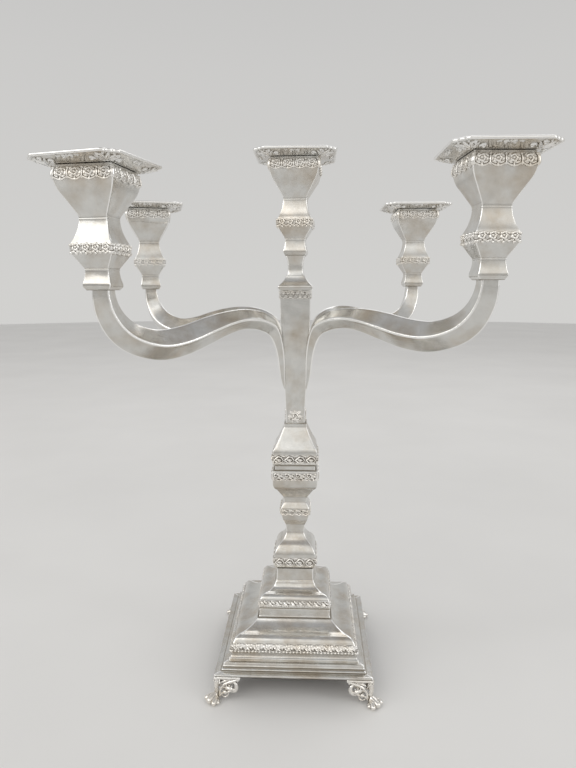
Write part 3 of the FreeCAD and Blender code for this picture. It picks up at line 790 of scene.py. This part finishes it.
def arm(light):
    """A tube of square section, standing on its corner, with soft ridges."""
    name = "arm_" + light
    x, y, lip, _ = seat_of(light)
    rise = lip - CUP_LIP_Z
    swing = (math.degrees(math.atan2(y, x)) - ARM_DIAGONAL[light] + 180) % 360 - 180
    upper = through([s[0] for s in ARM_STATIONS], 8)
    lower = through([s[1] for s in ARM_STATIONS], 8)
    rings = []
    for ridge in zip(upper, lower):
        top, foot = (np.array([r, z + rise * eased(r, RISE_FROM, RISE_TO)]) for r, z in ridge)
        middle, reach = (top + foot) / 2, (top - foot) / 2
        half = np.linalg.norm(reach) / math.sqrt(2)
        section, _, along = square_ring(half, min(ARM_CORNER, 0.42 * half), run=7, arc=5)
        turned = section @ np.array([[1, 1], [-1, 1]]) / math.sqrt(2)
        lengthwise = reach / np.linalg.norm(reach)
        flat = middle + turned[:, 1:] * lengthwise
        ring = np.column_stack([flat[:, 0], turned[:, 0], flat[:, 1]])
        rings.append(place(ring, turn=swing * eased(middle[0], SWING_FROM, SWING_TO)))
    rings = place(np.array(rings), turn=ARM_DIAGONAL[light])
    # The ridges of the arm are painted bright: partly rubbed wear, partly a painted highlight.
    ridge_highlight = np.tile(np.isnan(along), (len(rings), 1))
    mesh = lofted(name + "_tube", rings, caps=(True, True), wear_and_highlight=ridge_highlight)
    finish_mesh(mesh, "branches", "polished_silver", name)


def nozzle(light, seat):
    """The loose tube for the candle, with its bead and rolled rim."""
    bead_low, bead_high = CUP_TOP, CUP_TOP + 0.8
    rim_low, rim_high = PAN_LOW + 1.3, PAN_LOW + 1.2 + 1.6
    bead, rim = 13.0, 13.9
    floor_top = NOZZLE_FLOOR + 1.0
    outline = [
        (1.0, NOZZLE_FLOOR), (11.3, NOZZLE_FLOOR), (NOZZLE_RADIUS, NOZZLE_FLOOR + 0.6),
        (NOZZLE_RADIUS, bead_low), (bead, bead_low), (bead + 0.3, CUP_TOP + 0.4, bead, bead_high),
        (NOZZLE_RADIUS, bead_high), (NOZZLE_RADIUS, rim_low), (rim, rim_low),
        (rim + 0.7, PAN_LOW + 2.0, rim, rim_high), (11.5, rim_high), (CANDLE_RADIUS, rim_high - 0.4),
        (CANDLE_RADIUS, floor_top), (1.0, floor_top)]
    points = creased(sample(outline, 0.9), 0.2)
    around = 96
    bearing = np.linspace(0, 2 * math.pi, around, endpoint=False)
    rings = np.stack([np.stack([w * np.cos(bearing), w * np.sin(bearing), np.full(around, z)], 1)
                      for w, z in points])
    bore = (points[:, 0] <= CANDLE_RADIUS + 0.05) & (points[:, 1] < rim_high - 2)
    body = "nozzle_" + light
    mesh = lofted(body + "_tube", place(rings, *seat), caps=(True, True),
                  hollow=np.repeat(bore[:, None], around, 1))
    finish_mesh(mesh, body, "polished_silver", body)


def pan_outline(step=0.45, lobes=3, lobe=0.8):
    """The pan's edge in plan: straight sides, and cut corners with small lobes."""
    near = PAN_HALF - PAN_CUT
    side = np.linspace(-near, near, round(2 * near / step))
    edge = np.stack([side, np.full(len(side), -PAN_HALF)], 1)
    t = np.linspace(0, 1, round(PAN_CUT * math.sqrt(2) / step) + 6)[1:-1]
    swell = lobe * np.abs(np.sin(math.pi * lobes * t)) ** 0.7
    chord = np.stack([near + PAN_CUT * t, -PAN_HALF + PAN_CUT * t], 1)
    corner = chord + np.stack([swell, -swell], 1) / math.sqrt(2)
    quarter = np.concatenate([edge, corner])
    return np.concatenate([quarter_turn(quarter, k) for k in range(4)])


def pan_relief(x, y):
    """The pressed ornament of the pan's border, over places in plan: rich in the corners, one curl
    on each side."""
    along = np.minimum(np.abs(x), np.abs(y))
    out = np.maximum(np.abs(x), np.abs(y))
    u, v = (out - along) / math.sqrt(2), (out + along) / math.sqrt(2)
    parts = [
        leaf(u, v, 0, 31.0, 9.6, 3.0, 90, 1.1),
        leaf(u, v, 0.6, 31.4, 8.4, 2.8, 58, 1.0),
        leaf(u, v, 1.2, 31.0, 7.6, 2.6, 26, 0.95),
        spiral(u, v, 8.2, 29.6, 2.2, 1.2, 150, -1, 0.6, 0.95),
        spiral(u, v, 6.4, 36.4, 1.8, 1.1, 200, -1, 0.55, 0.9),
        dome(u, v, 3.6, 39.4, 0.9, 0.9),
        dome(u, v, 1.4, 29.6, 1.2, 0.9),
        spiral(along, out, 2.6, 30.4, 2.0, 1.1, 190, -1, 0.5, 0.8),
        dome(along, out, 0, 31.8, 0.8, 0.7),
        leaf(along, out, 5.0, 31.4, 3.6, 1.3, -12, 0.6),
    ]
    return np.maximum.reduce(parts)


def pan(light, seat):
    """A thin dish with a plain floor, a pressed border and a rolled edge with lobed corners."""
    rim = pan_outline()
    slope = PAN_RISE / (PAN_HALF - 1.4 - PAN_FLAT)
    floor_steps = (14.0, 17.0, 20.0)
    under = [(h, PAN_LOW + slope * (h - PAN_FLAT)) for h in np.arange(PAN_FLAT, PAN_HALF - 1.2, 0.42)]
    roll = [(34.2, PAN_LOW + 2.9), (34.7, PAN_LOW + 2.7), (35.0, PAN_LOW + 3.2), (34.9, PAN_LOW + 4.3),
            (34.6, PAN_RIM - 0.25), (34.1, PAN_RIM), (33.7, PAN_RIM - 0.3), (33.6, PAN_LOW + 4.3)]
    # From the hole outwards along the underside, over the roll, and back along the top.
    section = [(h, PAN_LOW, False) for h in floor_steps]
    section += [(h, z, True) for h, z in under]
    section += [(h, z, False) for h, z in roll]
    section += [(h, z + PAN_SHEET, True) for h, z in under[::-1]]
    section += [(h, PAN_LOW + PAN_SHEET, False) for h in floor_steps[::-1]]
    rings, heights, wear_and_highlight = [], [], []
    for half, z, pressed in section:
        flatness = eased(half, 13.0, PAN_FLAT)
        plan = rim * (half / PAN_HALF) * flatness + round_ring(half, rim) * (1 - flatness)
        fade = eased(half, PAN_FLAT, PAN_FLAT + 2.0) * (1 - eased(half, PAN_HALF - 2.6, PAN_HALF - 1.4))
        relief = fade * pan_relief(plan[:, 0], plan[:, 1]) if pressed else np.zeros(len(plan))
        rings.append(np.column_stack([plan, z - PAN_PRESS * relief]))
        heights.append(relief)
        # The rolled edge, and the tops of the pressed ornament, are painted bright: a painted highlight,
        # partly rubbed wear.
        rolled = half > PAN_FLAT and not pressed
        wear_and_highlight.append(np.full(len(plan), ROLL_HIGHLIGHT) if rolled else relief)
    hole = round_ring(NOZZLE_RADIUS + 0.08, rim)
    rings += [np.column_stack([hole, np.full(len(rim), z)]) for z in (PAN_LOW + PAN_SHEET, PAN_LOW)]
    heights += [np.zeros(len(rim))] * 2
    wear_and_highlight += [np.zeros(len(rim))] * 2
    body = "pan_" + light
    turned = place(np.array(rings), turn=PAN_TURN[light])
    mesh = lofted(body + "_dish", place(turned, *seat), closed=True, hollow=crowded(np.array(heights)),
                  wear_and_highlight=np.array(wear_and_highlight))
    finish_mesh(mesh, body, "polished_silver", body)


MOUTH = 12.0              # radius of the hole in a cup's top
CUP_INSIDE = [(18.8, CUP_TOP), (MOUTH, CUP_TOP), (MOUTH, CUP_TOP - 1.4), (18.6, CUP_TOP - 1.4),
              (18.6, 66.6), (11.2, 52.9)]

for light in LIGHTS:
    seat = seat_of(light)
    skin("cup_" + light, CUP, body="branches", seat=seat, inside=CUP_INSIDE, mouth=(MOUTH, 1.5))
    band_piece("cup_top_relief_" + light, CUP, 66.4, 76.2, cup_rose, 4, "branches",
               "cup_top_band_" + light, seat, dirt=0.8)
    band_piece("cup_bulge_relief_" + light, CUP, 19.4, 29.2, cup_curl, 4, "branches",
               "cup_bulge_band_" + light, seat, dirt=0.9)
    nozzle(light, seat)
    pan(light, seat)
for light in SIDE_LIGHTS:
    arm(light)


# ---- feet

def blobs(work, path, radii, flatten=None, spacing=0.35):
    """Balls along a smooth path, close enough together to run into one another."""
    line = through(path, 8)
    sizes = np.interp(np.linspace(0, 1, len(line)), np.linspace(0, 1, len(radii)), radii)
    length = lengths(line)
    at = 0.0
    while at <= length[-1]:
        centre = [np.interp(at, length, line[:, i]) for i in range(3)]
        radius = float(np.interp(at, length, sizes))
        matrix = Matrix.Translation(Vector(centre))
        if flatten:
            matrix = matrix @ Matrix.Diagonal((*flatten, 1.0))
        bmesh.ops.create_icosphere(work, subdivisions=2, radius=radius, matrix=matrix)
        at += radius * spacing


def foot_wing(work, across):
    """What one side of the foot shows.

    across turns a place (from the corner along the side, out from the side, up) into x, y, z.
    """
    def run(points, radii):
        blobs(work, [across(*p) for p in points], radii)
    # The bracket strip, the rib that sweeps from its end down the leg, and a fold between the two.
    run([(0.8, 0.4, 21.6), (12.0, 0.4, 21.6), (22.6, 0.3, 21.7)], [1.5, 1.4, 1.1])
    run([(22.4, 0.9, 20.8), (17.2, 1.3, 19.4), (12.3, 1.6, 17.8), (8.2, 1.7, 15.4), (5.8, 1.6, 11.4),
         (4.8, 1.4, 7.0), (4.4, 1.0, 4.4)], [0.8, 1.05, 1.2, 1.1, 1.0, 0.8])
    run([(14.0, 1.0, 20.2), (9.5, 1.3, 19.2), (6.4, 1.3, 17.8)], [0.6, 0.9, 0.6])
    # The open scroll, the leaf inside it, and the teeth of the leaf's upper edge.
    run([(17.6, 1.0, 17.8), (19.4, 1.1, 16.4), (20.0, 1.2, 13.4), (19.0, 1.2, 10.8), (16.8, 1.1, 9.4),
         (14.4, 0.9, 9.4)], [1.0, 1.8, 2.0, 1.9, 1.5, 0.9])
    run([(9.2, 1.5, 14.4), (12.0, 2.1, 13.2), (14.6, 2.4, 12.4), (16.8, 2.0, 11.2)], [0.6, 1.6, 1.9, 1.2])
    for tooth in ((11.2, 2.2, 15.0), (13.5, 2.6, 15.3), (15.7, 2.4, 14.6)):
        run([tooth, tuple(v + d for v, d in zip(tooth, (0.3, 0.0, 1.0)))], [0.75, 0.4])
    # The small curl by the leg, the lip of the hollow under it, and the strips that tie them in.
    run([(9.8, 1.6, 9.0), (9.5, 1.7, 8.8)], [2.1, 2.1])
    run([(12.4, 1.0, 7.6), (11.8, 1.1, 5.2), (9.6, 1.2, 4.0), (7.4, 1.1, 4.8)], [0.8, 0.85, 0.8, 0.6])
    run([(8.0, 1.6, 8.4), (6.2, 1.6, 6.4), (4.8, 1.3, 4.4)], [0.9, 0.8, 0.7])
    run([(14.8, 0.8, 9.6), (12.2, 0.9, 8.6)], [1.0, 1.3])
    # The leg's face with its beads, and the sheet behind it all.
    run([(2.3, 0.2, 20.0), (2.2, 0.1, 13.0), (2.4, 0.2, 8.0), (2.6, 0.6, 5.0)], [2.0, 1.7, 1.6, 1.9])
    for bead in ((1.9, 1.9, 16.4), (1.8, 1.8, 12.8), (3.6, 1.9, 18.6), (1.3, 2.2, 19.0), (5.0, 1.7, 17.0)):
        run([bead, tuple(v + 0.1 for v in bead)], [0.55, 0.55])
    run([(20.0, -2.2, 18.0), (13.0, -2.4, 15.0), (8.0, -2.3, 11.0)], [2.2, 2.8, 2.2])


def foot_mesh():
    """The cast foot under the corner at +X -Y: scrolls along both sides and a leafy toe on the diagonal."""
    work = bmesh.new()
    edge, inset = 70.0, 1.8
    foot_wing(work, lambda along, out, z: (edge - along, -(edge - inset) - out, z))
    foot_wing(work, lambda along, out, z: (edge - inset + out, -(edge - along), z))

    def toe(points, radii):
        """Places as distance out on the diagonal, distance across it, and height; both sides alike."""
        sides = (1, -1) if any(across for _, across, _ in points) else (1,)
        for side in sides:
            path = [((r - side * a) / math.sqrt(2), -(r + side * a) / math.sqrt(2), z)
                    for r, a, z in points]
            blobs(work, path, radii)
    toe([(96.3, 0, 21.0), (96.4, 0, 14.0), (96.2, 0, 8.0), (97.4, 0, 5.0)], [1.9, 1.7, 1.7, 2.2])
    toe([(97.6, 0, 5.6), (101.0, 0, 3.9), (104.6, 0, 3.0)], [2.8, 3.6, 3.0])
    toe([(98.4, 1.8, 4.6), (101.2, 3.7, 3.2), (103.4, 5.2, 2.5)], [2.3, 2.8, 2.3])
    toe([(97.4, 2.4, 3.4), (98.8, 5.0, 2.3), (99.6, 6.4, 1.9)], [1.8, 2.0, 1.5])
    toe([(99.4, 0, 6.6), (101.4, 0, 5.6)], [0.8, 0.5])
    work.verts.ensure_lookup_table()
    for vert in work.verts:
        vert.co.z = min(max(vert.co.z, 0.0), FOOT_TOP - 0.05)
        vert.co *= MM
    shape = show("foot_shape", mesh_from(work, "foot"))
    remesh = shape.modifiers.new("join", "REMESH")
    remesh.mode = "VOXEL"
    remesh.voxel_size = 0.36 * MM
    soften = shape.modifiers.new("soften", "SMOOTH")
    soften.factor = 0.5
    soften.iterations = 2
    bpy.context.view_layer.update()
    made = bpy.data.meshes.new_from_object(shape.evaluated_get(bpy.context.evaluated_depsgraph_get()))
    bpy.data.objects.remove(shape)
    co = np.empty(len(made.vertices) * 3, np.float32)
    made.vertices.foreach_get("co", co)
    co = co.reshape(-1, 3)
    co[:, 2] = np.clip(co[:, 2], 0, FOOT_TOP * MM)
    made.vertices.foreach_set("co", co.ravel())
    normals = np.array([v.normal for v in made.vertices])
    mark(made, "hollow", hollows_of(made, co, normals))
    return made


def hollows_of(mesh, co, normals, rounds=14, level=0.25, full=0.35):
    """How far each point lies under the smoothed surface round it: level where it is even with it."""
    edges = np.empty(len(mesh.edges) * 2, np.int32)
    mesh.edges.foreach_get("vertices", edges)
    edges = edges.reshape(-1, 2)
    count = np.zeros(len(co))
    np.add.at(count, edges.ravel(), 1)
    smooth = co.astype(float)
    for _ in range(rounds):
        total = np.zeros_like(smooth)
        np.add.at(total, edges[:, 0], smooth[edges[:, 1]])
        np.add.at(total, edges[:, 1], smooth[edges[:, 0]])
        smooth = total / count[:, None]
    return level + ((smooth - co) * normals).sum(1) / MM / full


foot_shape = foot_mesh()
for k, corner in enumerate(("front_right", "back_right", "back_left", "front_left")):
    turned = foot_shape.copy()
    turned.transform(Matrix.Rotation(math.radians(90 * k), 4, "Z"))
    turned.name = "foot_" + corner + "_cast"
    finish_mesh(turned, "candlestick", "chased_silver", "foot_" + corner, sharp=75.0)

dress("base_board", "base_board")
dress("socket_tube", "polished_silver")
for rod_part in ("tie_rod", "rod_nut", "rod_washer"):
    dress(rod_part, "rod_steel")


# ---- floor, light and camera

def floor():
    """A wide round floor of pale, faintly clouded paint."""
    work = bmesh.new()
    bmesh.ops.create_circle(work, cap_ends=True, radius=6.0, segments=128)
    piece = show("floor", mesh_from(work, "floor"))
    material, tree, shader = blank("pale_floor")
    colour = ramp(tree, noise(tree, 3.0, 3.0), [(0.3, (0.76, 0.755, 0.745)), (0.7, (0.80, 0.795, 0.785))])
    tree.links.new(colour, shader.inputs["Base Color"])
    shader.inputs["Roughness"].default_value = 0.75
    piece.data.materials.append(material)


def soft_box(name, place_at, aim, size, power, tint=(1, 1, 1)):
    """A rectangular lamp: where it hangs and aims in metres, its size, its watts and its colour."""
    lamp = bpy.data.lights.new(name, "AREA")
    lamp.shape = "RECTANGLE"
    lamp.size, lamp.size_y = size
    lamp.energy = power
    lamp.color = tint
    holder = show(name, lamp)
    holder.location = place_at
    holder.rotation_euler = (Vector(aim) - Vector(place_at)).to_track_quat("-Z", "Y").to_euler()


def surroundings():
    """A plain room: even and pale ahead, a broad glow high up behind the eye, dimmer to the sides."""
    world = bpy.data.worlds.new("studio")
    bpy.context.scene.world = world
    world.use_nodes = True
    tree = world.node_tree
    where = tree.nodes.new("ShaderNodeTexCoord")
    split = tree.nodes.new("ShaderNodeSeparateXYZ")
    tree.links.new(where.outputs["Generated"], split.inputs["Vector"])
    level = math_node(tree, "MULTIPLY_ADD", split.outputs["Z"], 0.5, 0.5)
    ahead = ramp(tree, level, [(0.50, (0.64, 0.635, 0.62)), (0.66, (0.60, 0.595, 0.585)),
                               (0.95, (0.44, 0.44, 0.445))])
    behind = ramp(tree, level, [(0.46, (0.50, 0.495, 0.48)), (0.56, (0.56, 0.55, 0.535)),
                                (0.72, (1.05, 1.03, 0.99)), (0.84, (0.92, 0.91, 0.89)),
                                (0.97, (0.46, 0.46, 0.465))])
    aside = ramp(tree, math_node(tree, "ABSOLUTE", split.outputs["X"]), [(0.40, 1.0), (0.90, 0.74)])
    dimmed = mixed(tree, 1.0, behind, aside, "MULTIPLY")
    forward = math_node(tree, "MULTIPLY_ADD", split.outputs["Y"], 1.2, 0.35)
    facing = ramp(tree, forward, [(0.0, 0.0), (1.0, 1.0)])
    sky = tree.nodes["Background"]
    tree.links.new(mixed(tree, facing, dimmed, ahead), sky.inputs["Color"])
    sky.inputs["Strength"].default_value = 1.0


EYE = (0.0142, -0.5330, 0.3616)
YAW, PITCH, ROLL = (math.radians(angle) for angle in (-2.28, 9.4, -0.08))
SENSOR_WIDTH = 36.0
FOCAL_LENGTH = 27.44


def camera():
    """The photograph's eye: half a metre in front of the column, looking a little down."""
    lens = bpy.data.cameras.new("camera")
    lens.sensor_width = SENSOR_WIDTH
    lens.lens = FOCAL_LENGTH
    lens.clip_start = 0.01
    holder = show("camera", lens)
    forward = Vector((math.sin(YAW) * math.cos(PITCH), math.cos(YAW) * math.cos(PITCH), -math.sin(PITCH)))
    holder.location = EYE
    holder.rotation_mode = "QUATERNION"
    roll = Matrix.Rotation(ROLL, 3, "Z").to_quaternion()
    holder.rotation_quaternion = forward.to_track_quat("-Z", "Y") @ roll
    bpy.context.scene.camera = holder


floor()
surroundings()
soft_box("key", (-1.7, -2.0, 2.3), (0, 0, 0.25), (3.0, 2.4), 20.0, (1.0, 0.985, 0.96))
soft_box("fill", (2.1, -1.2, 1.3), (0, 0, 0.3), (1.8, 2.2), 6.0, (0.97, 0.985, 1.0))
soft_box("left_strip", (-2.4, -0.6, 1.5), (0, 0, 0.3), (0.35, 1.5), 5.0, (1.0, 0.99, 0.97))
soft_box("right_strip", (2.5, -1.1, 1.4), (0, 0, 0.3), (0.30, 1.5), 4.0)
soft_box("back", (0.6, 1.7, 2.3), (0, 0, 0.3), (2.2, 1.0), 9.0)
camera()
bpy.context.scene.view_settings.view_transform = "Standard"
